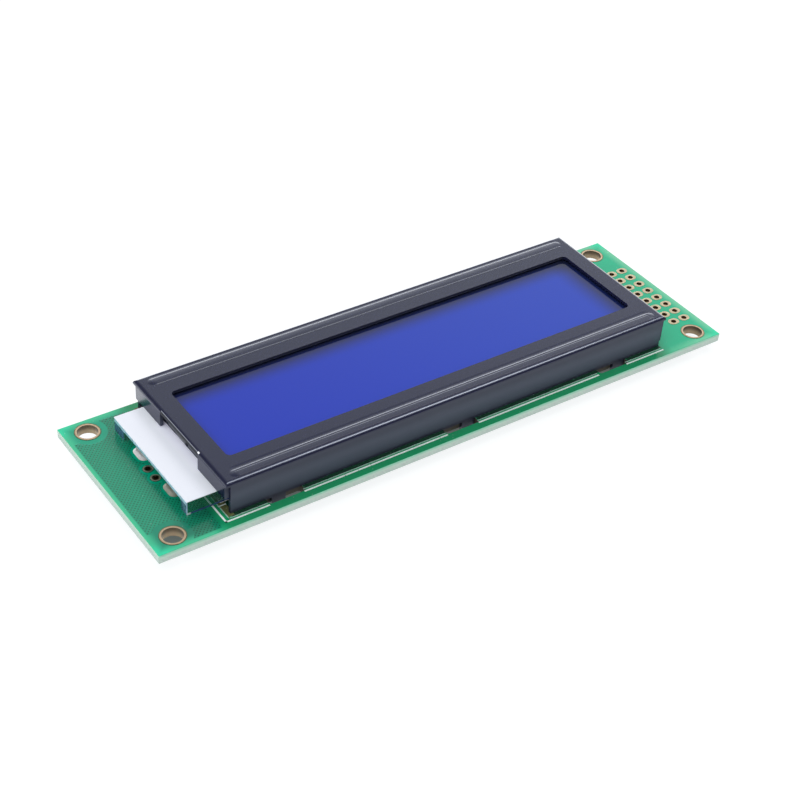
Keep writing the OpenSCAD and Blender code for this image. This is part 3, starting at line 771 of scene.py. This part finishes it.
def outline(name, finish, reach, left, right, width, gaps):
    """One printed line round the bezel: in front, behind and at the left end. The reach is its
    distance from the middle line of the guide."""
    back_start, end_stop = left + 3, 11.5
    bm = bmesh.new()
    middle = (GUIDE_LOW.y + GUIDE_HIGH.y) / 2
    for side, first in ((-1, left), (1, back_start)):
        y = middle + side * reach
        ends = [first] + [value for gap in gaps for value in gap] + [right]
        for start, end in zip(ends[::2], ends[1::2]):
            stroke(bm, (start, y), (end, y), width)
    stroke(bm, (left, middle - reach), (left, middle + end_stop), width)
    new_piece(name, bm, finish)


def silkscreen():
    """Outline of the bezel in white ink: a clear line, and one close to the wall, darkened with
    painted shade from the bezel.
    """
    slots = ((-37.70, -30.97), (-3.05, 3.77), (30.06, 36.79))
    ticks = ((-23.6, -23.2), (-21.1, -20.7), (-18.6, -18.2), (-4.7, -4.3))
    outline("silkscreen_outline", FINISHES["ink"], reach=16.53, left=-45.45, right=45.30,
            width=0.32, gaps=sorted(slots + ticks))
    # painted shade: the line close to the wall is darker in the bezel's shade
    outline("silkscreen_shaded_line", FINISHES["shaded_ink"], reach=16.0, left=-44.65,
            right=45.00, width=0.18, gaps=slots)
    bm = bmesh.new()
    stroke(bm, (-44.7, -12.3), (-43.5, -12.3), width=0.20)
    new_piece("silkscreen_corner_mark", bm, FINISHES["ink"])


def is_outer_edge(edge):
    """True where both ends lie on two outer faces of the guide, not in its pocket. The faces
    above and below have been moved in a little."""
    near, near_moved = 0.01, 0.05
    for vert in edge.verts:
        place = vert.co
        faces = (
            min(place.x - GUIDE_LOW.x, GUIDE_HIGH.x - place.x) < near,
            min(place.y - GUIDE_LOW.y, GUIDE_HIGH.y - place.y) < near,
            min(place.z - GUIDE_LOW.z, GUIDE_HIGH.z - place.z) < near_moved,
        )
        if sum(faces) < 2:
            return False
    return True


def clear_guide():
    """The light guide with its moulded edges eased, a hair clear of the board and the film."""
    bm = bmesh.new()
    bm.from_mesh(parts["light_guide"].data)
    bmesh.ops.scale(bm, vec=(1 / MM,) * 3, verts=bm.verts)
    bmesh.ops.remove_doubles(bm, verts=bm.verts, dist=0.001)
    flat, sharp_turn = math.radians(1), math.radians(50)
    bmesh.ops.dissolve_limit(
        bm, angle_limit=flat, verts=bm.verts, edges=bm.edges, delimit=set()
    )
    lift, drop = 0.04, 0.02
    for vert in bm.verts:
        if vert.co.z < GUIDE_LOW.z + 0.01:
            vert.co.z += lift
        elif vert.co.z > GUIDE_HIGH.z - 0.01:
            vert.co.z -= drop
    sharp = [
        edge for edge in bm.edges
        if edge.is_manifold and edge.calc_face_angle() > sharp_turn and is_outer_edge(edge)
    ]
    bmesh.ops.bevel(
        bm, geom=sharp, offset=0.09, offset_type="OFFSET", segments=2, profile=0.5,
        affect="EDGES", material=-1, clamp_overlap=True,
    )
    bmesh.ops.triangulate(bm, faces=bm.faces)
    obj = new_piece("light_guide_clear", bm, FINISHES["guide"])
    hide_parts("light_guide")


silkscreen()
clear_guide()


# Floor, light and camera

def make_floor():
    """Plain pale floor: white in view, with a faint shadow, and open from below."""
    bm = bmesh.new()
    bmesh.ops.create_grid(bm, x_segments=1, y_segments=1, size=2.0)
    mesh = bpy.data.meshes.new("floor")
    bm.to_mesh(mesh)
    bm.free()
    floor = bpy.data.objects.new("floor", mesh)
    bpy.context.scene.collection.objects.link(floor)
    made, w = new_material("pale_floor")
    x, y, _ = w.axes(w.place())
    path = w.tree.nodes.new("ShaderNodeLightPath").outputs
    # painted shadow: under the module the camera sees it dark
    shadow_beneath = w.rectangle(x, y, (-56, -14, 52, 13), 2)
    in_view = w.ramp(shadow_beneath, 0, 1, 0.88, 0.09)
    # glossy rays see it dim away in front of the object
    front = w.ramp(y, -70, -30, 0.10, 0.70)
    back = w.ramp(y, -20, 60, 0.0, 0.65)
    left = w.ramp(x, -110, -58, 0.85, 0.0)
    strength = w.sum(
        w.product(path["Is Camera Ray"], in_view),
        w.product(path["Is Glossy Ray"], w.sum(front, w.highest(back, left))),
        w.product(path["Is Transmission Ray"], 0.6),
    )
    glow = w.add("Emission", {0: (0.98, 0.985, 1.0), 1: strength})
    grey = w.ramp(path["Is Camera Ray"], 0, 1, 0.88, 0.22)
    diffuse = w.add("BsdfDiffuse", {0: w.add("CombineXYZ", {0: grey, 1: grey, 2: grey})})
    lit = w.add("AddShader", {0: diffuse, 1: glow})
    from_below = w.add("NewGeometry", out=6)
    clear = w.add("BsdfTransparent")
    w.show(w.add("MixShader", {0: from_below, 1: lit, 2: clear}))
    mesh.materials.append(made)


def make_world():
    """White for the camera. For gloss, bright behind and dark in front, with the lamp. For
    diffuse light, soft daylight from the left and from behind."""
    world = bpy.data.worlds.new("studio")
    bpy.context.scene.world = world
    world.use_nodes = True
    tree = world.node_tree
    tree.nodes.clear()
    w = Wiring(tree)
    x, y, z = w.axes(w.add("TexCoord", out=0))
    path = tree.nodes.new("ShaderNodeLightPath").outputs
    # bright backdrop behind, brightest along the horizon and weaker at the left
    behind = w.ramp(y, -0.25, 0.25, 0.0, 1.0)
    rise = w.ramp(z, 0.0, 0.75, 1.9, 0.88)
    horizon = w.ramp(z, 0.10, 0.46, 1.9, 0)
    high = w.ramp(z, 0.60, 0.95, 1.0, 0.6)
    aside = w.ramp(x, -0.50, 0.20, 0.15, 1.0)
    backdrop = w.product(behind, aside, w.sum(rise, horizon), high)
    front = w.product(w.invert(behind), w.ramp(z, 0.15, 0.6, 0.06, 0.45))
    # the lamp, as the bezel's bend and ribs mirror it
    aim = w.sum(w.product(x, 0.479), w.product(y, -0.22), w.product(z, 0.85))
    lamp = w.ramp(aim, 0.966, 0.990, 0, 10.0)
    toward = w.sum(w.product(x, -0.85), w.product(y, 0.53))
    sky = w.ramp(toward, -0.3, 0.3, 0.3, 1.5)
    strength = w.sum(
        path["Is Camera Ray"],
        w.product(path["Is Glossy Ray"], w.sum(backdrop, front, lamp)),
        w.product(path["Is Transmission Ray"], 0.8),
        w.product(path["Is Diffuse Ray"], sky),
    )
    bounce = w.highest(path["Is Glossy Ray"], path["Is Diffuse Ray"])
    colour = w.blend(bounce, (1, 1, 1), (0.93, 0.96, 1.0))
    light = w.add("Background", {0: colour, 1: strength})
    made = tree.nodes.new("ShaderNodeOutputWorld")
    tree.links.new(light, made.inputs["Surface"])


def make_softbox(name, toward, distance, size, power, colour):
    """A rectangular area light in that direction from the module, aimed at it. Distance and
    size are in metres."""
    data = bpy.data.lights.new(name, "AREA")
    data.shape = "RECTANGLE"
    data.size, data.size_y = size
    data.energy = power
    data.color = colour
    lamp = bpy.data.objects.new(name, data)
    direction = Vector(toward).normalized()
    lamp.location = direction * distance
    lamp.rotation_euler = direction.to_track_quat("Z", "Y").to_euler()
    bpy.context.scene.collection.objects.link(lamp)


def make_camera():
    """The photograph's camera, fitted to the board and the bezel."""
    data = bpy.data.cameras.new("camera")
    data.sensor_width = 36
    data.lens = 75.297
    data.clip_start, data.clip_end = 0.01, 20
    camera = bpy.data.objects.new("camera", data)
    camera.location = (-0.141928, -0.183683, 0.180017)
    turn = (51.9658043, -3.62674498, -34.61379494)
    camera.rotation_euler = Euler([math.radians(angle) for angle in turn], "XYZ")
    bpy.context.scene.collection.objects.link(camera)
    bpy.context.scene.camera = camera


make_floor()
make_world()
make_softbox(
    "key_softbox", toward=(0.479, -0.20, 0.85), distance=0.60, size=(0.11, 0.24), power=0.66,
    colour=(1.0, 0.99, 0.98),
)
make_camera()
bpy.context.scene.view_settings.view_transform = "Standard"
